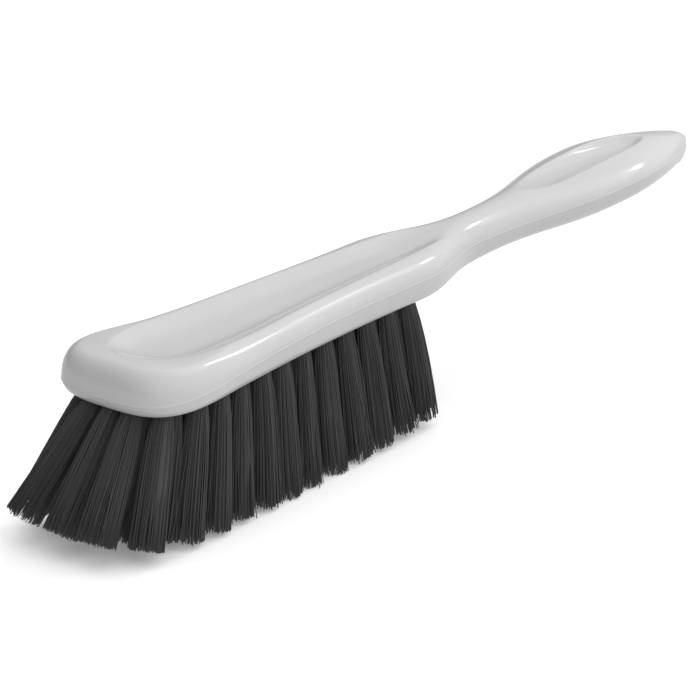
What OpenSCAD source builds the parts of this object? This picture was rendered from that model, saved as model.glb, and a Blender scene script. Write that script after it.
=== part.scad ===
// Hand brush: a one-piece moulded stock (head and handle) with staggered rows of bristle tufts,
// each tuft folded over a flat staple in the bottom of its hole.
// Frame: +Y runs along the brush from the nose of the head to the tip of the handle, +Z is up.
// z = 0 is the plane of the bristle tips. Inside the formulas u is the distance from the nose.

/* [Stock plan] */
// Length of the stock, nose to handle tip
stock_l = 316; // [310:1:325]
// Width of the head at its rear, before the shoulder
head_w = 36.6; // [34:0.2:40]
// How much each side of the head flares out towards the nose
nose_flare = 12.8; // [8:0.2:14]
// Length over which the head flares
flare_l = 141; // [130:1:150]
// Length over which the nose is rounded off
nose_l = 46; // [40:1:50]
// Squareness of the nose: 2 is an ellipse
nose_power = 3.2; // [2.4:0.1:3.6]
// Where the shoulder behind the head starts
shoulder_u = 140; // [138:1:146]
// Width of the neck
neck_w = 17.2; // [15:0.2:20]
// Where the neck is narrowest
neck_u = 190; // [184:1:196]
// Largest width of the grip
grip_w = 38.2; // [34:0.2:40]
// Where the grip is widest
grip_u = 265.5; // [258:0.5:270]
// Width of the grip's tip before it is rounded
tip_w = 5.6; // [3:0.2:8]
// Length of the tip's rounded end
tip_round = 2.2; // [2:0.1:5]

/* [Stock heights] */
// Height of the tufted face above the bristle tips
trim_h = 47; // [42:0.5:52]
// Parting line above the tufted face
seam_h = 8; // [7:0.1:9]
// How far the parting line drops at the nose
seam_nose_drop = 3.8; // [2:0.1:4.5]
// How far the parting line rises along the grip
seam_rise = 4.5; // [2:0.1:6]
// How far the parting line comes down again at the tip
seam_tip_drop = 3.6; // [2:0.1:5]
// Rim of the head above the parting line
rim_h = 6.8; // [6:0.1:8]
// Extra height of the nose above the parting line
nose_rise = 4.4; // [2:0.1:5]
// Extra height of the grip above the parting line
grip_rise = 1; // [0:0.1:3]
// How much the top comes down at the tip
tip_sink = 3.3; // [2:0.1:4.5]
// Underside of the grip below the parting line
belly_h = 12.5; // [10:0.1:14]
// How much the underside comes up at the tip
belly_tip_rise = 6.1; // [4:0.1:7]

/* [Rounding] */
// Distance from the outline to the crest of the head's rim
rim_inset = 8.5; // [7:0.1:10]
// The same distance round the nose
rim_nose = 7.2; // [5.5:0.1:9]
// Roundness of the head's rim
rim_power = 2.2; // [2:0.1:3]
// Roundness of the grip's upper half
grip_power = 1.85; // [1.8:0.05:2.6]
// How much squarer the upper half gets at the grip's tip
tip_square = 1.6; // [0:0.1:2]
// Rounded lower edge of the head at the nose
edge_nose = 3.6; // [2.5:0.1:6]
// Rounded lower edge of the head along its sides
edge_side = 2.8; // [2:0.1:4]

/* [Dish and thumb recess] */
// Depth of the dish in the top of the head
dish_depth = 2.6; // [0.5:0.1:3.5]
// Where the dish starts behind the nose
dish_u = 10.7; // [10:0.1:14]
// Half width of the dish near the nose
dish_half = 16.2; // [14:0.2:18]
// Depth of the leaf-shaped thumb recess
leaf_depth = 3; // [1:0.1:3.5]
// Middle of the thumb recess
leaf_u = 253; // [248:1:258]
// Length of the thumb recess
leaf_l = 71; // [60:1:74]
// Width of the thumb recess
leaf_w = 15.6; // [12:0.2:18]
// How much deeper the thumb recess is at its tip end
leaf_tilt = 0.6; // [0:0.05:0.8]

/* [Tufts] */
// First row of tufts behind the nose
row_first = 7.8; // [7.6:0.1:8.4]
// Distance between rows
row_pitch = 5.75; // [5.7:0.05:5.9]
// Distance from the outline to the outer tufts
tuft_inset = 6.5; // [6.4:0.1:7]
// Diameter of a tuft hole
hole_d = 5; // [4.4:0.1:5.2]
// Depth of a tuft hole
hole_depth = 8.5; // [7:0.1:9]
// Diameter of a tuft at its tip
tuft_tip_d = 6.4; // [5.2:0.1:6.6]
// Length of a tuft outside the stock
tuft_l = 48.5; // [43.5:0.5:53.5]
// How much shorter the tufts of the first row are
nose_trim = 4; // [0:0.5:5]
// How much shorter the last row's tufts are trimmed
tail_trim = 3.5; // [0:0.5:4]
// Forward or backward lean of a tuft per unit of distance from the upright row
fan = 0.117; // [0.08:0.001:0.125]
// Extra forward lean of the first row
nose_lean = 12.5; // [6:0.1:14]
// Outward lean of the outer tufts
side_lean = 3; // [1:0.1:4]
// Extra outward lean round the nose
nose_side_lean = 20; // [6:0.5:22]
// Height of a staple's flat wire
staple_h = 2; // [1.5:0.1:2.5]
// Thickness of a staple's flat wire
staple_t = 0.5; // [0.4:0.05:0.7]

/* [Hidden] */
row_count = 24;
function row_name(kind, k) = str(kind, k < 9 ? "_row_0" : "_row_", k + 1);
$fn = 48;

upright_u = 82;        // the row whose tufts stand upright
narrow_u = 75;         // behind this a row has one tuft fewer
hole_r = hole_d / 2;
fit_gap = 0.1;         // between a tuft and its hole
wire_gap = 0.02;       // between a staple and what it touches
fold = 1.8;            // filament that passes over the staple
spine_end = stock_l - 6;

// ---- Curves ----
function clamp01(t) = min(max(t, 0), 1);
function smooth(t) = let (s = clamp01(t)) s * s * s * (s * (s * 6 - 15) + 10);
function ramp(u, from, to) = smooth((u - from) / (to - from));
function mix(a, b, t) = a + (b - a) * t;
// rises from 0 at t = 0 to 1 at t = 1 along a rounded quarter arc
function dome(t, power) = pow(1 - pow(1 - clamp01(t), power), 1 / power);
// 0 up to the widest part of the grip, 1 at its tip
function to_tip(u) = max(0, (u - grip_u) / (stock_l - grip_u));
// 1 at the nose, falling to 0 at the given length
function from_nose(u, length) = pow(1 - min(u, length) / length, 2);

// ---- Plan outline of the stock ----
function head_half(u) = head_w / 2 + nose_flare * from_nose(u, flare_l);
function grip_half(u) = mix(neck_w, grip_w, ramp(u, neck_u - 5, grip_u)) / 2
    - (grip_w - tip_w) / 2 * pow(to_tip(u), 1.6);
function full_half(u) = mix(head_half(u), grip_half(u), ramp(u, shoulder_u, neck_u));
function half_w(u) = full_half(u) * dome(u / nose_l, nose_power)
    * dome((stock_l - u) / tip_round, 2.2);

// ---- Side view of the stock, from the tufted face ----
function seam_z(u) = seam_h - seam_nose_drop * from_nose(u, 115)
    + seam_rise * ramp(u, neck_u - 7, grip_u + 21.5) - seam_tip_drop * pow(to_tip(u), 2);
function rise(u) = rim_h + nose_rise * from_nose(u, 70) + grip_rise * ramp(u, 130, 240)
    - tip_sink * pow(to_tip(u), 2);
function belly(u) = mix(seam_h, belly_h, ramp(u, neck_u - 2, grip_u))
    - belly_tip_rise * pow(to_tip(u), 2);
function drop(u) = mix(seam_z(u), belly(u), ramp(u, 165, 200));
// 0 on the head, 1 on the grip
function is_grip(u) = ramp(u, 165, 235);

// ---- Hollows in the top ----
// a crisp edge round the nose end that softens towards the rear
function dish_open(u) = ramp(u, 15, 60);
function dish_side(u) = dish_half - 0.075 * max(0, u - 30) + 3 * dish_open(u);
function dish_reach(u, v) = norm([max(0, 1 - (u - dish_u) / 24), v / dish_side(u)]);
function dish(u, v) = dish_depth * (1 - ramp(u, 140, 180))
    * pow(clamp01(1 - pow(dish_reach(u, v), 4)), mix(1.15, 2, dish_open(u)));
// the positive part of a depth, rounded off where it reaches 0
function soft_edge(depth, width) = (depth + norm([depth, width])) / 2;
function leaf_along(u) = (u - leaf_u) * 2 / leaf_l;
function leaf_reach(u, v) = norm([pow(abs(leaf_along(u)), 1.4), v * 2 / leaf_w]);
function leaf(u, v) = leaf_depth
    * soft_edge(1 - pow(leaf_reach(u, v), 2.5 + ramp(leaf_along(u), 0, 0.7)), 0.05)
    * (1 + leaf_tilt * min(max(leaf_along(u), -1), 1));

// ---- The stock's skin: closed rings, each one further in from the outline ----
nose_steps = 14;
side_steps = 38;
tip_steps = 8;
stations = concat(
    [for (i = [0 : nose_steps]) nose_l * (1 - cos(90 * i / nose_steps))],
    [for (i = [1 : side_steps]) mix(nose_l, spine_end, i / side_steps)],
    [for (i = [1 : tip_steps]) mix(spine_end, stock_l, sin(90 * i / tip_steps))]);
side_n = len(stations);
ring_n = 2 * side_n - 2;
top_in = [0, 0.02, 0.05, 0.09, 0.14, 0.2, 0.27, 0.35, 0.44, 0.54, 0.65, 0.77, 0.9];
under_in = [0.015, 0.035, 0.065, 0.1, 0.15, 0.22, 0.32, 0.48, 0.68, 0.9];

function spine(u) = min(max(u, nose_l), spine_end);
function inset_of(u, f) = f * norm([spine(u) - u, half_w(u)]);
function crest(u) = mix(mix(rim_nose, rim_inset, ramp(u, 5, 60)), full_half(u), is_grip(u));
function edge(u) = mix(mix(edge_nose, edge_side, ramp(u, 15, 55)), full_half(u), is_grip(u));
// where a ring takes its height from: the outline at first, the point's own place further in
function high_u(u, f) = mix(u, mix(u, spine(u), f), ramp(f, 0.15, 0.6));
function top_power(u) = mix(rim_power, grip_power, is_grip(u)) + tip_square * pow(to_tip(u), 4);
function top_z(u, f) = seam_z(high_u(u, f)) + rise(high_u(u, f))
    * dome(inset_of(u, f) / crest(u), top_power(u));
function under_z(u, f) = seam_z(high_u(u, f)) - drop(high_u(u, f))
    * dome(inset_of(u, f) / edge(u), mix(1.6, 1.9, is_grip(u)));
// j counts round the ring: up one side from the nose, then back down the other
function station(j) = stations[j < side_n ? j : 2 * side_n - 2 - j];
function side(j) = j < side_n ? 1 : -1;
function skin_point(u, s, f, top) = let (pu = mix(u, spine(u), f), pv = s * half_w(u) * (1 - f))
    [pv, pu, top ? top_z(u, f) - dish(pu, pv) - leaf(pu, pv) : under_z(u, f)];
function ring(f, top) = [for (j = [0 : ring_n - 1]) skin_point(station(j), side(j), f, top)];
function band(a, b) = [for (j = [0 : ring_n - 1]) let (k = (j + 1) % ring_n)
    each [[a + j, b + j, b + k], [a + j, b + k, a + k]]];
function flip(faces) = [for (f = faces) [f[2], f[1], f[0]]];
// closes a ring across the spine, joining each point to its mirror point
function cap(a) = [for (j = [0 : side_n - 2]) let (m = (ring_n - j) % ring_n, n = ring_n - j - 1)
    each concat(j < side_n - 2 ? [[a + j, a + n, a + j + 1]] : [],
        j > 0 ? [[a + j, a + m, a + n]] : [])];

module stock_skin() {
    top_n = len(top_in);
    under_n = len(under_in);
    points = concat([for (f = top_in) each ring(f, true)], [for (f = under_in) each ring(f, false)]);
    function at(i) = i * ring_n;
    faces = concat(
        [for (i = [0 : top_n - 2]) each band(at(i), at(i + 1))],
        cap(at(top_n - 1)),
        flip(band(at(0), at(top_n))),
        [for (i = [top_n : top_n + under_n - 2]) each flip(band(at(i), at(i + 1)))],
        flip(cap(at(top_n + under_n - 1))));
    polyhedron(points, faces);
}

// ---- Tufts ----
function row_u(k) = row_first + k * row_pitch;
// outer rows reach the edge of the field, inner rows stand half a step inside it
function is_outer(k) = k % 2 == 1;
function full_row(u) = u < narrow_u ? 5 : 4;
function row_tufts(k) = k == 0 ? 3 : full_row(row_u(k)) - (is_outer(k) ? 0 : 1);
function field_half(u) = (full_half(u) - tuft_inset) * dome((u - 6.3) / 24.6, 2);
function tuft_step(k) = k == 0 ? field_half(row_u(k))
    : 2 * field_half(row_u(k)) / (full_row(row_u(k)) - 1);
function tuft_v(k, i) = (i - (row_tufts(k) - 1) / 2) * tuft_step(k);
function tuft_length(u) = tuft_l - nose_trim * from_nose(u - row_first, 150)
    - tail_trim * ramp(u, 78, 145);
// how far a tuft's tip stands to the side of its root
function lean_u(u) = fan * (u - upright_u) - nose_lean * from_nose(u - row_first, 23);
function lean_v(u, v) = v / (full_half(u) - tuft_inset)
    * (side_lean + nose_side_lean * from_nose(u - row_first, 20));
function lean(u, v) = norm([lean_u(u), lean_v(u, v)]);

// Puts a child that points along +Z into a tuft's place: 0 at the tufted face, + towards the tip
module along_tuft(u, v) {
    turn = atan2(lean_u(u), lean_v(u, v));
    translate([v, u, trim_h])
        rotate([0, 180 - asin(lean(u, v) / tuft_length(u)), turn])
            rotate([0, 0, turn])
                children();
}

module hole(u, v) {
    along_tuft(u, v)
        translate([0, 0, -hole_depth])
            cylinder(r = hole_r, h = hole_depth + 3);
}

// A staple lies across its hole, a fold of filament above the bottom of it
module staple_space(gap) {
    chord = 2 * sqrt(pow(hole_r - wire_gap, 2) - pow(staple_t / 2, 2));
    translate([0, 0, fold + staple_h / 2 - hole_depth])
        cube([chord + 2 * gap, staple_t + 2 * gap, staple_h + 2 * gap], center = true);
}

module tuft(u, v) {
    root_r = hole_r - fit_gap;
    intersection() {
        difference() {
            along_tuft(u, v) {
                translate([0, 0, fit_gap - hole_depth])
                    cylinder(r = root_r, h = hole_depth - fit_gap);
                cylinder(r1 = root_r, r2 = tuft_tip_d / 2, h = tuft_length(u));
            }
            along_tuft(u, v)
                staple_space(wire_gap);
        }
        translate([v - 60, u - 60, 0])
            cube([120, 120, 120]);
    }
}

// ---- Frame: the middle of the brush's length is at y = 0 ----
front_tip_u = row_first + lean_u(row_first)
    - tuft_tip_d / 2 * cos(asin(lean_u(row_first) / tuft_length(row_first)));
module in_frame() {
    translate([0, -(stock_l + front_tip_u) / 2, 0])
        children();
}

module stock() {
    color("gainsboro")
        in_frame()
            difference() {
                translate([0, 0, trim_h])
                    stock_skin();
                for (k = [0 : row_count - 1], i = [0 : row_tufts(k) - 1])
                    hole(row_u(k), tuft_v(k, i));
            }
}

module tuft_row(k) {
    color("#1c1c1e")
        in_frame()
            for (i = [0 : row_tufts(k) - 1])
                tuft(row_u(k), tuft_v(k, i));
}

module staple_row(k) {
    color("silver")
        in_frame()
            for (i = [0 : row_tufts(k) - 1])
                along_tuft(row_u(k), tuft_v(k, i))
                    staple_space(0);
}

stock();
for (k = [0 : row_count - 1]) {
    tuft_row(k);
    staple_row(k);
}
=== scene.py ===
"""Hand brush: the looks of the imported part.

The stock is rebuilt as one fine mesh from the same curves as the CAD part, and each row of tufts
as bundles of single filaments. The staples keep their CAD shape. Sizes are in millimetres until
mesh_piece turns them into metres. Inside the formulas u is the distance behind the nose, v the
distance to the side and z the height above the tufted face.
"""
import math

import bpy
import numpy as np
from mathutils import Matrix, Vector


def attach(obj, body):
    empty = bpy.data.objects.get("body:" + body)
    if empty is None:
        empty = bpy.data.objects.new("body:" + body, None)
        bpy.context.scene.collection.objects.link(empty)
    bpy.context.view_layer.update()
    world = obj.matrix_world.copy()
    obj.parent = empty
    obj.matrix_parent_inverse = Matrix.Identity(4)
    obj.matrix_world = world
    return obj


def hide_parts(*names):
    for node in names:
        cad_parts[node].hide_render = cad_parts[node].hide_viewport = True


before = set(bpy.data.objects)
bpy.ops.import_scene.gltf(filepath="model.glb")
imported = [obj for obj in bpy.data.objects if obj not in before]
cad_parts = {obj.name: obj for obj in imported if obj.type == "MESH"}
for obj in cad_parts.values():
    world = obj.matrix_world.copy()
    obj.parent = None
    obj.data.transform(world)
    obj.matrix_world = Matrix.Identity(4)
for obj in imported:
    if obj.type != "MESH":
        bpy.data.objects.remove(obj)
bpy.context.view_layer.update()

# ---- The stock's plan outline ----
STOCK_L = 316.0
HEAD_W = 36.6
NOSE_FLARE = 12.8
FLARE_L = 141.0
NOSE_L = 46.0
NOSE_POWER = 3.2
SHOULDER_U = 140.0
NECK_W = 17.2
NECK_U = 190.0
GRIP_W = 38.2
GRIP_U = 265.5
TIP_W = 5.6
TIP_ROUND = 2.2
SPINE_END = STOCK_L - 6

# ---- The stock's heights ----
TRIM_H = 47.0
SEAM_H = 8.0
SEAM_NOSE_DROP = 3.8
SEAM_NOSE_L = 115.0
SEAM_RISE = 4.5
SEAM_TIP_DROP = 3.6
RIM_H = 6.8
NOSE_RISE = 4.4
NOSE_RISE_L = 70.0
GRIP_RISE = 1.0
TIP_SINK = 3.3
BELLY_H = 12.5
BELLY_TIP_RISE = 6.1
RIM_INSET = 8.5
RIM_NOSE = 7.2
RIM_POWER = 2.2
GRIP_POWER = 1.85
TIP_SQUARE = 1.6
EDGE_NOSE = 3.6
EDGE_SIDE = 2.8
EDGE_POWER = 1.6
BELLY_POWER = 1.9
DISH_DEPTH = 2.6
DISH_U = 10.7
DISH_HALF = 16.2
DISH_TAPER = 0.075
DISH_NOSE_L = 24.0
LEAF_DEPTH = 3.0
LEAF_TILT = 0.6
LEAF_U = 253.0
LEAF_L = 71.0
LEAF_W = 15.6

# ---- The tufts ----
ROWS = 24
ROW_FIRST = 7.8
ROW_PITCH = 5.75
TUFT_INSET = 6.5
NARROW_U = 75.0
UPRIGHT_U = 82.0
HOLE_R = 2.5
HOLE_DEPTH = 8.5
HOLE_SIDES = 32
HOLE_CLEAR = 3.0
TUFT_TIP_R = 3.2
TUFT_L = 48.5
FAN = 0.117
NOSE_LEAN = 12.5
NOSE_LEAN_L = 23.0
SIDE_LEAN = 3.0
NOSE_SIDE_LEAN = 20.0
NOSE_SIDE_L = 20.0
NOSE_SWAY = 5.0
NOSE_SWAY_L = 60.0
NOSE_TRIM = 4.0
NOSE_TRIM_L = 150.0
TAIL_TRIM = 3.5


# ---- Curves ----
def clamp01(t):
    return np.clip(t, 0.0, 1.0)


def ramp(u, start, end):
    """Rises smoothly from 0 at start to 1 at end."""
    s = clamp01((u - start) / (end - start))
    return s * s * s * (s * (s * 6 - 15) + 10)


def mix(a, b, t):
    return a + (b - a) * t


def dome(t, power):
    """From 0 at t = 0 to 1 at t = 1 along a rounded quarter arc."""
    return (1 - (1 - clamp01(t)) ** power) ** (1 / power)


def to_tip(u):
    """0 up to the grip's widest place, then rising to 1 at its tip."""
    return np.maximum(0, (u - GRIP_U) / (STOCK_L - GRIP_U))


def from_nose(u, length):
    """1 at the nose, falling to 0 at a length behind it."""
    return (1 - np.clip(u, 0, length) / length) ** 2


def full_half(u):
    """Half the stock's width before its two ends are rounded."""
    head = HEAD_W / 2 + NOSE_FLARE * from_nose(u, FLARE_L)
    grip = mix(NECK_W, GRIP_W, ramp(u, NECK_U - 5, GRIP_U)) / 2
    grip = grip - (GRIP_W - TIP_W) / 2 * to_tip(u) ** 1.6
    return mix(head, grip, ramp(u, SHOULDER_U, NECK_U))


def half_w(u):
    return full_half(u) * dome(u / NOSE_L, NOSE_POWER) * dome((STOCK_L - u) / TIP_ROUND, 2.2)


def seam_z(u):
    """Height of the parting line."""
    z = SEAM_H - SEAM_NOSE_DROP * from_nose(u, SEAM_NOSE_L)
    return z + SEAM_RISE * ramp(u, NECK_U - 7, GRIP_U + 21.5) - SEAM_TIP_DROP * to_tip(u) ** 2


def rise(u):
    """How far the top stands above the parting line."""
    z = RIM_H + NOSE_RISE * from_nose(u, NOSE_RISE_L) + GRIP_RISE * ramp(u, 130, 240)
    return z - TIP_SINK * to_tip(u) ** 2


def drop(u):
    """How far the underside lies below the parting line."""
    belly = mix(SEAM_H, BELLY_H, ramp(u, NECK_U - 2, GRIP_U)) - BELLY_TIP_RISE * to_tip(u) ** 2
    return mix(seam_z(u), belly, ramp(u, 165, 200))


def is_grip(u):
    """0 on the head, 1 on the grip."""
    return ramp(u, 165, 235)


def soft_edge(depth, width):
    """The positive part of depth, rounded off where it reaches 0."""
    return (depth + np.sqrt(depth * depth + width * width)) / 2


def dish(u, v):
    """Depth of the head's dish: a crisp edge round the nose end that softens to the rear."""
    open_out = ramp(u, 15, 60)
    side = DISH_HALF - DISH_TAPER * np.maximum(0, u - 30) + 3 * open_out
    reach = np.hypot(np.maximum(0, 1 - (u - DISH_U) / DISH_NOSE_L), v / side)
    wall = clamp01(1 - reach**4) ** mix(1.15, 2, open_out)
    return DISH_DEPTH * wall * (1 - ramp(u, 140, 180))


def leaf(u, v):
    """Depth of the thumb recess, deeper and steeper towards the grip's tip."""
    along = (u - LEAF_U) * 2 / LEAF_L
    reach = np.hypot(np.abs(along) ** 1.4, v * 2 / LEAF_W)
    wall = soft_edge(1 - reach ** (2.5 + ramp(along, 0, 0.7)), 0.05)
    return LEAF_DEPTH * wall * (1 + LEAF_TILT * np.clip(along, -1, 1))


# ---- The stock's skin: closed rings, each one further in from the outline ----
NOSE_STEPS = 80
SIDE_STEPS = 190
TIP_STEPS = 24
TOP_RINGS = 84
UNDER_RINGS = 38
LAST_RING = 0.97
SEAM_RIDGE = 0.2
SEAM_RIDGE_H = 0.34


def spine(u):
    return np.clip(u, NOSE_L, SPINE_END)


def stations():
    """Distances behind the nose of the outline's points, closer together at both ends."""
    nose = NOSE_L * (1 - np.cos(np.linspace(0, math.pi / 2, NOSE_STEPS + 1)))
    side = np.linspace(NOSE_L, SPINE_END, SIDE_STEPS + 1)[1:]
    tip = mix(SPINE_END, STOCK_L, np.sin(np.linspace(0, math.pi / 2, TIP_STEPS + 1)))[1:]
    return np.concatenate([nose, side, tip])


def skin_ring(u, side, f, top):
    """The ring a share f of the way in from the outline, as points (u, v, z)."""
    inset = f * np.hypot(spine(u) - u, half_w(u))
    high_u = mix(u, mix(u, spine(u), f), ramp(f, 0.15, 0.6))
    if top:
        reach = mix(RIM_NOSE, RIM_INSET, ramp(u, 5, 60))
        reach = mix(reach, full_half(u), is_grip(u))
        power = mix(RIM_POWER, GRIP_POWER, is_grip(u)) + TIP_SQUARE * to_tip(u) ** 4
        lift = rise(high_u) * dome(inset / reach, power)
    else:
        edge = mix(EDGE_NOSE, EDGE_SIDE, ramp(u, 15, 55))
        reach = mix(edge, full_half(u), is_grip(u))
        lift = -drop(high_u) * dome(inset / reach, mix(EDGE_POWER, BELLY_POWER, is_grip(u)))
    ridge = SEAM_RIDGE * np.maximum(0, 1 - (lift / SEAM_RIDGE_H) ** 2) ** 2
    out = 1 + ridge / np.maximum(np.hypot(spine(u) - u, half_w(u)), 1)
    pu = spine(u) + (u - spine(u)) * (1 - f) * out
    pv = side * half_w(u) * (1 - f) * out
    z = seam_z(high_u) + lift
    if top:
        z = z - dish(pu, pv) - leaf(pu, pv)
    return np.stack([pu, pv, z], axis=1)


def band(a, b, count):
    """Quads between two rings of points that start at a and b."""
    j = np.arange(count)
    k = (j + 1) % count
    return np.stack([a + j, b + j, b + k, a + k], axis=1)


def cap(a, side_n):
    """Closes a ring across the spine, joining each point to its mirror point."""
    count = 2 * side_n - 2
    j = np.arange(1, side_n - 2)
    quads = np.stack([a + j, a + count - j, a + count - j - 1, a + j + 1], axis=1).tolist()
    first = [a, a + count - 1, a + 1]
    last = [a + side_n - 2, a + side_n, a + side_n - 1]
    return quads + [first, last]


def stock_skin():
    """The whole stock without its holes, as points and faces."""
    along = stations()
    side_n = len(along)
    u = np.concatenate([along, along[-2:0:-1]])
    side = np.where(np.arange(len(u)) < side_n, 1.0, -1.0)
    top_in = LAST_RING * np.linspace(0, 1, TOP_RINGS) ** 2.5
    under_in = LAST_RING * np.linspace(0, 1, UNDER_RINGS + 1)[1:] ** 2.5
    rings = [skin_ring(u, side, f, True) for f in top_in]
    rings += [skin_ring(u, side, f, False) for f in under_in]
    count = len(u)
    faces = []
    for i in range(TOP_RINGS - 1):
        faces += band(i * count, (i + 1) * count, count).tolist()
    faces += cap((TOP_RINGS - 1) * count, side_n)
    under = band(0, TOP_RINGS * count, count).tolist()
    for i in range(TOP_RINGS, TOP_RINGS + UNDER_RINGS - 1):
        under += band(i * count, (i + 1) * count, count).tolist()
    under += cap((TOP_RINGS + UNDER_RINGS - 1) * count, side_n)
    faces += [face[::-1] for face in under]
    return np.concatenate(rings), faces


# ---- Where the tufts stand ----
def row_u(k):
    return ROW_FIRST + k * ROW_PITCH


def row_sides(k):
    """The tufts of row k: how far each stands to the side."""
    u = row_u(k)
    full = 5 if u < NARROW_U else 4
    field = (full_half(u) - TUFT_INSET) * dome((u - 6.3) / 24.6, 2)
    count = 3 if k == 0 else full - (0 if k % 2 else 1)
    step = field if k == 0 else 2 * field / (full - 1)
    return [(i - (count - 1) / 2) * step for i in range(count)]


def tuft_lean(u, v):
    """How far a tuft's tip stands from its root, along u and to the side."""
    lean_u = FAN * (u - UPRIGHT_U) - NOSE_LEAN * from_nose(u - ROW_FIRST, NOSE_LEAN_L)
    outward = SIDE_LEAN + NOSE_SIDE_LEAN * from_nose(u - ROW_FIRST, NOSE_SIDE_L)
    return lean_u, v / (full_half(u) - TUFT_INSET) * outward


def tuft_length(u):
    """Length below the tufted face before the flat trim, shorter at both ends of the head."""
    nose = NOSE_TRIM * from_nose(u - ROW_FIRST, NOSE_TRIM_L)
    return TUFT_L - nose - TAIL_TRIM * ramp(u, 78, 145)


def tuft_axes(u, v, sway=0.0):
    """The tuft's direction towards its tip, and two directions across it, as (u, v, z).

    sway brushes the nose's tufts over to one side. The holes have none.
    """
    lean_u, lean_v = tuft_lean(u, v)
    lean_v -= sway * from_nose(u - ROW_FIRST, NOSE_SWAY_L)
    length = tuft_length(u)
    down = math.sqrt(length**2 - lean_u**2 - lean_v**2)
    axis = np.array([lean_u, lean_v, -down]) / length
    across = np.cross([0.0, 1.0, 0.0], axis)
    across = across / np.linalg.norm(across)
    return axis, across, np.cross(axis, across)


FRONT_LEAN = tuft_lean(ROW_FIRST, 0)[0]
FRONT_TILT = math.asin(FRONT_LEAN / tuft_length(ROW_FIRST))
FRONT_TIP_U = ROW_FIRST + FRONT_LEAN - TUFT_TIP_R * math.cos(FRONT_TILT)
SHIFT = -(STOCK_L + FRONT_TIP_U) / 2


# ---- From points to pieces ----
def mesh_piece(name, points, faces, material):
    """A piece from points (u, v, z) in millimetres, riding on the one body."""
    place = np.stack([points[:, 1], points[:, 0] + SHIFT, points[:, 2] + TRIM_H], axis=1)
    mesh = bpy.data.meshes.new(name)
    mesh.from_pydata((place / 1000).tolist(), [], faces)
    mesh.materials.append(material)
    mesh.shade_smooth()
    mesh.update()
    piece = bpy.data.objects.new(name, mesh)
    bpy.context.scene.collection.objects.link(piece)
    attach(piece, "root")
    return piece


def hole_cutters():
    """All the tuft holes as one mesh of cylinders."""
    sides = HOLE_SIDES
    turn = np.linspace(0, 2 * math.pi, sides, endpoint=False)
    points = []
    faces = []
    for k in range(ROWS):
        for v in row_sides(k):
            axis, across, back = tuft_axes(row_u(k), v)
            root = np.array([row_u(k), v, 0.0])
            start = len(points)
            for reach in (-HOLE_DEPTH, HOLE_CLEAR):
                for a in turn:
                    rim = HOLE_R * (math.cos(a) * across + math.sin(a) * back)
                    points.append(root + reach * axis + rim)
            faces.append([start + i for i in range(sides)])
            faces.append([start + sides + i for i in reversed(range(sides))])
            for i in range(sides):
                j = (i + 1) % sides
                faces.append([start + i, start + sides + i, start + sides + j, start + j])
    return np.array(points), faces


def drill(piece, material):
    """Cuts the tuft holes into the stock's mesh."""
    points, faces = hole_cutters()
    cutter = mesh_piece("hole_cutter", points, faces, material)
    cut = piece.modifiers.new("holes", "BOOLEAN")
    cut.object = cutter
    cut.operation = "DIFFERENCE"
    cut.solver = "MANIFOLD"
    graph = bpy.context.evaluated_depsgraph_get()
    drilled = bpy.data.meshes.new_from_object(piece.evaluated_get(graph))
    piece.modifiers.clear()
    old = piece.data
    piece.data = drilled
    bpy.data.meshes.remove(old)
    bpy.data.objects.remove(cutter)
    drilled.set_sharp_from_angle(angle=math.radians(45))


# ---- Filaments ----
FILAMENTS = 220
FILAMENT_R = 0.21
FILAMENT_SIDES = 4
FILAMENT_STEPS = 7
CORE_SHARE = 0.9
ROOT_START = -3.0
ROOT_R = 2.2
FLARE_POWER = 0.38
CORE_SIDES = 16
CORE_STEPS = (-0.05, 0.0, 0.04, 0.12, 0.3, 0.55, 0.74, 0.85)
CORE_SHARES = (1, 1, 1, 1, 1, 1, 0.85, 0.4)
INNER_SHARE = 0.3
GOLDEN_TURN = 2.39996
TIP_SCATTER = 0.45
SCATTER_LIMIT = 0.6
STRAY_SHARE = 0.06
STRAY_REACH = 1.3
FILAMENT_BOW = 0.25
TUFT_BOW = 0.35
SHORT_SHARE = 0.12


def spread(u):
    """Radius of a tuft's bundle at its tips."""
    return 5.0 + 0.6 * from_nose(u - ROW_FIRST, 60)


def tuft_core(u, v):
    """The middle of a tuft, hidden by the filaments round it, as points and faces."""
    axis, across, back = tuft_axes(u, v, NOSE_SWAY)
    turn = np.linspace(0, 2 * math.pi, CORE_SIDES, endpoint=False)
    points = []
    for out, share in zip(CORE_STEPS, CORE_SHARES):
        radius = share * CORE_SHARE * mix(ROOT_R, spread(u), max(0, out) ** FLARE_POWER)
        middle = np.array([u, v, 0.0]) + out * tuft_length(u) * axis
        points += [middle + radius * (math.cos(a) * across + math.sin(a) * back) for a in turn]
    faces = []
    for i in range(len(CORE_STEPS) - 1):
        faces += band(i * CORE_SIDES, (i + 1) * CORE_SIDES, CORE_SIDES).tolist()
    last = (len(CORE_STEPS) - 1) * CORE_SIDES
    faces.append([last + i for i in range(CORE_SIDES)][::-1])
    faces.append(list(range(CORE_SIDES)))
    return np.array(points), faces


def bundle_places(rng, count):
    """Where each filament stands in its bundle, in shares of the radius, most near its skin."""
    spot = np.arange(count) + 0.5
    inner = np.where(rng.random(count) < INNER_SHARE, 0.0, CORE_SHARE**2)
    ring = np.sqrt(inner + (1 - inner) * spot / count)
    turn = spot * GOLDEN_TURN + rng.uniform(0, 6.3)
    place = np.stack([ring * np.cos(turn), ring * np.sin(turn)], axis=1)
    return place + np.clip(rng.normal(0, 0.05, place.shape), -0.06, 0.06)


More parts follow.
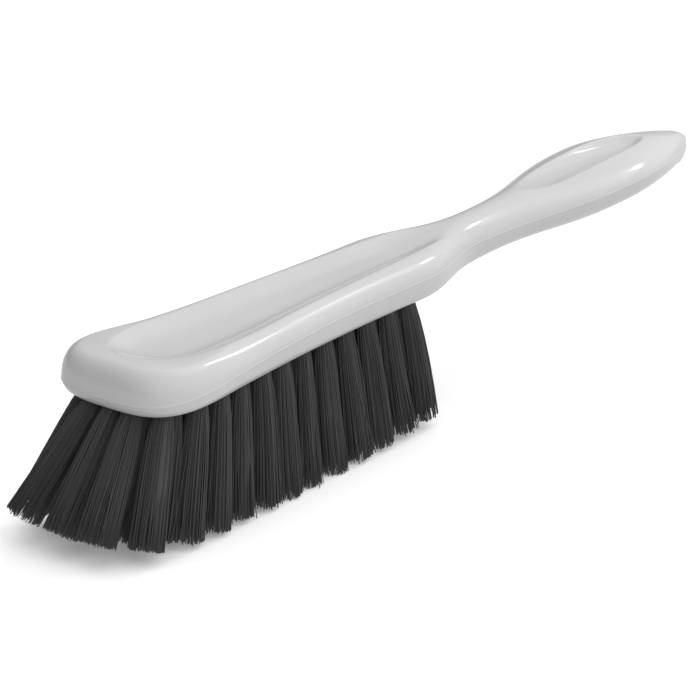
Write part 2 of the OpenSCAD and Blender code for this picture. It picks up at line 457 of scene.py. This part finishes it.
def filament_lengths(rng, u, count):
    length = tuft_length(u) + rng.normal(-0.4, 0.5) + rng.normal(0, 0.35, count)
    short = rng.random(count) < SHORT_SHARE
    length[short] -= rng.uniform(0.5, 3.0, int(short.sum()))
    return length


def tuft_paths(rng, u, v):
    """Centre lines of one tuft's filaments, as (filament, step, 3)."""
    axis, across, back = tuft_axes(u, v, NOSE_SWAY)
    count = FILAMENTS + rng.integers(-4, 5)
    place = bundle_places(rng, count)
    root = place * ROOT_R
    scatter = rng.normal(0, TIP_SCATTER, place.shape)
    tip = place * spread(u) + np.clip(scatter, -SCATTER_LIMIT, SCATTER_LIMIT)
    tip += rng.normal(0, 0.35, 2)
    stray = rng.random(count) < STRAY_SHARE
    flyaway = np.zeros_like(place)
    flyaway[stray] = rng.normal(0, STRAY_REACH, (int(stray.sum()), 2))
    bow = rng.normal(0, FILAMENT_BOW, place.shape) + rng.normal(0, TUFT_BOW, 2)
    length = filament_lengths(rng, u, count)
    t = np.linspace(0, 1, FILAMENT_STEPS) ** 1.4
    reach = ROOT_START + (length - ROOT_START)[:, None] * t
    out = clamp01(reach / length[:, None])
    slide = root[:, None] + (tip - root)[:, None] * (out**FLARE_POWER)[..., None]
    slide += bow[:, None] * np.sin(math.pi * out)[..., None] * 0.5
    slide += flyaway[:, None] * (out**2)[..., None]
    path = np.array([u, v, 0.0]) + reach[..., None] * axis
    path = path + slide[..., :1] * across + slide[..., 1:] * back
    return trim_to_floor(path, rng)


def trim_to_floor(path, rng):
    """Cuts off what would pass through the floor, as on a flat-trimmed brush."""
    floor = 0.05 + np.abs(rng.normal(0, 0.25, len(path))) - TRIM_H
    low = path[:, -1, 2]
    full = path[:, 0, 2] - low
    keep = np.minimum(1, (path[:, 0, 2] - floor) / full)
    t = np.linspace(0, 1, FILAMENT_STEPS)
    at = keep[:, None] * t * (FILAMENT_STEPS - 1)
    i = np.minimum(at.astype(int), FILAMENT_STEPS - 2)
    part = (at - i)[..., None]
    line = np.arange(len(path))[:, None]
    return path[line, i] * (1 - part) + path[line, i + 1] * part


def filament_tubes(paths, rng):
    """Tapered tubes along the paths, as points and faces."""
    count, steps, _ = paths.shape
    turn = np.linspace(0, 2 * math.pi, FILAMENT_SIDES, endpoint=False)
    turn = turn + rng.uniform(0, 6.3, (count, 1))
    thick = FILAMENT_R * rng.uniform(0.88, 1.12, count)
    taper = np.linspace(1.0, 0.82, steps)
    radius = thick[:, None] * taper
    ring_u = radius[..., None] * np.cos(turn)[:, None]
    ring_v = radius[..., None] * np.sin(turn)[:, None]
    points = np.repeat(paths[:, :, None], FILAMENT_SIDES, axis=2)
    points[..., 0] += ring_u
    points[..., 1] += ring_v
    start = (np.arange(count) * steps * FILAMENT_SIDES)[:, None, None]
    a = start + (np.arange(steps - 1) * FILAMENT_SIDES)[:, None]
    j = np.arange(FILAMENT_SIDES)
    k = (j + 1) % FILAMENT_SIDES
    quads = np.stack([a + j, a + k, a + k + FILAMENT_SIDES, a + j + FILAMENT_SIDES], axis=-1)
    ends = start[:, 0] + (steps - 1) * FILAMENT_SIDES + j
    starts = start[:, 0] + j[::-1]
    faces = quads.reshape(-1, 4)[:, ::-1].tolist()
    faces += ends[:, ::-1].tolist() + starts[:, ::-1].tolist()
    return points.reshape(-1, 3), faces


def tuft_row(k, material):
    """All the tufts of row k as one piece, in the place of the row's CAD tufts."""
    rng = np.random.default_rng(100 + k)
    u = row_u(k)
    points = []
    faces = []
    for v in row_sides(k):
        for part in (filament_tubes(tuft_paths(rng, u, v), rng), tuft_core(u, v)):
            start = sum(len(p) for p in points)
            points.append(part[0])
            faces += [[start + i for i in face] for face in part[1]]
    name = f"bristles_{k + 1:02d}"
    piece = mesh_piece(name, np.concatenate(points), faces, material)
    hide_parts(f"tuft_row_{k + 1:02d}")


# ---- Materials ----
def new_material(name):
    material = bpy.data.materials.new(name)
    material.use_nodes = True
    tree = material.node_tree
    return material, tree.nodes, tree.links, tree.nodes["Principled BSDF"]


def noise(nodes, links, scale, detail=2.0, stretch=(1, 1, 1)):
    where = nodes.new("ShaderNodeTexCoord")
    turn = nodes.new("ShaderNodeMapping")
    turn.inputs["Scale"].default_value = stretch
    links.new(where.outputs["Object"], turn.inputs["Vector"])
    texture = nodes.new("ShaderNodeTexNoise")
    texture.inputs["Scale"].default_value = scale
    texture.inputs["Detail"].default_value = detail
    links.new(turn.outputs["Vector"], texture.inputs["Vector"])
    return texture


def ramp_node(nodes, links, source, stops):
    """Turns a 0 to 1 value into a colour or a grey value, by stops of (place, grey)."""
    node = nodes.new("ShaderNodeValToRGB")
    elements = node.color_ramp.elements
    while len(elements) < len(stops):
        elements.new(0.5)
    for element, (place, shade) in zip(elements, stops):
        element.position = place
        element.color = (*shade, 1) if isinstance(shade, tuple) else (shade, shade, shade, 1)
    links.new(source, node.inputs["Fac"])
    return node.outputs["Color"]


def bump(nodes, links, source, distance, strength=1.0):
    node = nodes.new("ShaderNodeBump")
    node.inputs["Distance"].default_value = distance
    node.inputs["Strength"].default_value = strength
    links.new(source, node.inputs["Height"])
    return node.outputs["Normal"]


def plastic():
    """Near-white gloss polypropylene: faint clouding, a soft moulded unevenness, tiny specks."""
    material, nodes, links, shader = new_material("stock_plastic")
    cloud = noise(nodes, links, 22, 3)
    base = ramp_node(nodes, links, cloud.outputs["Fac"],
                     [(0.3, (0.475, 0.475, 0.472)), (0.7, (0.505, 0.505, 0.503))])
    speck = nodes.new("ShaderNodeTexVoronoi")
    speck.inputs["Scale"].default_value = 85
    where = nodes.new("ShaderNodeTexCoord")
    links.new(where.outputs["Object"], speck.inputs["Vector"])
    dots = ramp_node(nodes, links, speck.outputs["Distance"], [(0.014, 1.0), (0.026, 0.0)])
    paint = nodes.new("ShaderNodeMix")
    paint.data_type = "RGBA"
    paint.inputs["B"].default_value = (0.38, 0.38, 0.37, 1)
    links.new(dots, paint.inputs["Factor"])
    links.new(base, paint.inputs["A"])
    links.new(paint.outputs["Result"], shader.inputs["Base Color"])
    smear = noise(nodes, links, 60, 4, (1, 0.35, 1))
    links.new(ramp_node(nodes, links, smear.outputs["Fac"], [(0.3, 0.11), (0.75, 0.17)]),
              shader.inputs["Roughness"])
    links.new(bump(nodes, links, noise(nodes, links, 150, 2).outputs["Fac"], 0.00004, 0.5),
              shader.inputs["Normal"])
    shader.inputs["IOR"].default_value = 1.49
    shader.inputs["Subsurface Weight"].default_value = 0.12
    shader.inputs["Subsurface Radius"].default_value = (1.0, 0.95, 0.9)
    shader.inputs["Subsurface Scale"].default_value = 0.002
    return material


def bristle():
    """Black polypropylene filament, a little lighter or duller from one to the next."""
    material, nodes, links, shader = new_material("bristle")
    one = nodes.new("ShaderNodeNewGeometry")
    links.new(ramp_node(nodes, links, one.outputs["Random Per Island"],
                        [(0.0, (0.062, 0.062, 0.0625)), (1.0, (0.066, 0.065, 0.065))]),
              shader.inputs["Base Color"])
    streak = noise(nodes, links, 900, 2, (1, 1, 0.04))
    links.new(ramp_node(nodes, links, streak.outputs["Fac"], [(0.3, 0.5), (0.7, 0.65)]),
              shader.inputs["Roughness"])
    links.new(bump(nodes, links, streak.outputs["Fac"], 0.00003, 0.4), shader.inputs["Normal"])
    shader.inputs["IOR"].default_value = 1.45
    shader.inputs["Specular IOR Level"].default_value = 0.12
    return material


def steel():
    """Flat staple wire: brushed along its length, a little tarnished."""
    material, nodes, links, shader = new_material("staple_wire")
    cloud = noise(nodes, links, 700, 3)
    links.new(ramp_node(nodes, links, cloud.outputs["Fac"],
                        [(0.3, (0.42, 0.41, 0.39)), (0.7, (0.62, 0.61, 0.6))]),
              shader.inputs["Base Color"])
    brushed = noise(nodes, links, 2500, 2, (0.1, 1, 1))
    links.new(ramp_node(nodes, links, brushed.outputs["Fac"], [(0.3, 0.26), (0.7, 0.42)]),
              shader.inputs["Roughness"])
    links.new(bump(nodes, links, brushed.outputs["Fac"], 0.00002, 0.4), shader.inputs["Normal"])
    shader.inputs["Metallic"].default_value = 1.0
    return material


def paper():
    material, nodes, links, shader = new_material("studio_floor")
    cloud = noise(nodes, links, 3, 2)
    links.new(ramp_node(nodes, links, cloud.outputs["Fac"], [(0.0, 0.9), (1.0, 0.92)]),
              shader.inputs["Base Color"])
    shader.inputs["Roughness"].default_value = 0.6
    shader.inputs["Specular IOR Level"].default_value = 0.2
    shader.inputs["Emission Color"].default_value = (1, 1, 1, 1)
    shader.inputs["Emission Strength"].default_value = 0.18
    return material


# ---- The studio ----
SKY_AXIS = (0.52, 0.27, 0.81)
SKY_FROM = -0.4
SKY_TO = 0.7
SKY_HIGH = 1.38
BOUNCE = 0.82
FLOOR_HALF = 4.0
LIT_SPOT = (0, 0, 0.05)
CAMERA_ANGLE = 9.21


def floor(material):
    """A pale floor that gives no bounce of its own: the sky's lower half does that."""
    half = FLOOR_HALF
    mesh = bpy.data.meshes.new("studio_floor")
    corners = [(-half, -half, 0), (half, -half, 0), (half, half, 0), (-half, half, 0)]
    mesh.from_pydata(corners, [], [(0, 1, 2, 3)])
    mesh.materials.append(material)
    ground = bpy.data.objects.new("studio_floor", mesh)
    bpy.context.scene.collection.objects.link(ground)
    ground.visible_diffuse = False
    ground.visible_glossy = False
    ground.visible_shadow = False


def aim(thing, target):
    direction = Vector(target) - thing.location
    thing.rotation_euler = direction.to_track_quat("-Z", "Y").to_euler()


def soft_light(name, place, size, power):
    light = bpy.data.lights.new(name, "AREA")
    light.shape = "RECTANGLE"
    light.size, light.size_y = size
    light.energy = power
    lamp = bpy.data.objects.new(name, light)
    lamp.location = place
    bpy.context.scene.collection.objects.link(lamp)
    aim(lamp, LIT_SPOT)


def level_node(nodes, links, direction, axis, start, end, high):
    """Rises from 0 to high as a direction turns towards an axis."""
    side = nodes.new("ShaderNodeVectorMath")
    side.operation = "DOT_PRODUCT"
    side.inputs[1].default_value = axis
    links.new(direction, side.inputs[0])
    level = nodes.new("ShaderNodeMapRange")
    level.interpolation_type = "SMOOTHSTEP"
    level.inputs["From Min"].default_value = start
    level.inputs["From Max"].default_value = end
    level.inputs["To Min"].default_value = 0
    level.inputs["To Max"].default_value = high
    links.new(side.outputs["Value"], level.inputs["Value"])
    return level.outputs["Result"]


def soft_sky():
    """Soft light, brightest from above and behind, and a dimmer bounce from below."""
    world = bpy.data.worlds.new("studio")
    world.use_nodes = True
    nodes, links = world.node_tree.nodes, world.node_tree.links
    direction = nodes.new("ShaderNodeTexCoord").outputs["Generated"]
    brighter = nodes.new("ShaderNodeMath")
    brighter.operation = "MAXIMUM"
    sky = level_node(nodes, links, direction, SKY_AXIS, SKY_FROM, SKY_TO, SKY_HIGH)
    links.new(sky, brighter.inputs[0])
    bounce = level_node(nodes, links, direction, (0, 0, -1), -0.1, 0.15, BOUNCE)
    links.new(bounce, brighter.inputs[1])
    links.new(brighter.outputs["Value"], nodes["Background"].inputs["Strength"])
    nodes["Background"].inputs["Color"].default_value = (1, 1, 1, 1)
    bpy.context.scene.world = world


def studio():
    bpy.context.scene.view_settings.view_transform = "Standard"
    soft_sky()
    soft_light("key", (0.23, 1.94, 1.53), (0.26, 0.22), 5)
    soft_light("spark", (0.75, 1.8, 1.53), (0.12, 0.12), 0.22)
    soft_light("panel", (0.6, 1.6, 2.0), (1.5, 1.2), 3.6)


def camera():
    data = bpy.data.cameras.new("camera")
    data.sensor_width = 36.0
    data.angle = math.radians(CAMERA_ANGLE)
    eye = bpy.data.objects.new("camera", data)
    shift = SHIFT / 1000
    eye.location = (0.8754, shift - 0.9343, 0.5566)
    bpy.context.scene.collection.objects.link(eye)
    aim(eye, (-0.0114, shift + 0.1385, 0.0238))
    bpy.context.scene.camera = eye


# ---- Making it all ----
def build():
    white = plastic()
    points, faces = stock_skin()
    stock = mesh_piece("brush_stock", points, faces, white)
    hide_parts("stock")
    drill(stock, white)
    black = bristle()
    wire = steel()
    for k in range(ROWS):
        tuft_row(k, black)
        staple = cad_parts[f"staple_row_{k + 1:02d}"]
        staple.data.materials.clear()
        staple.data.materials.append(wire)
    floor(paper())


build()
studio()
camera()
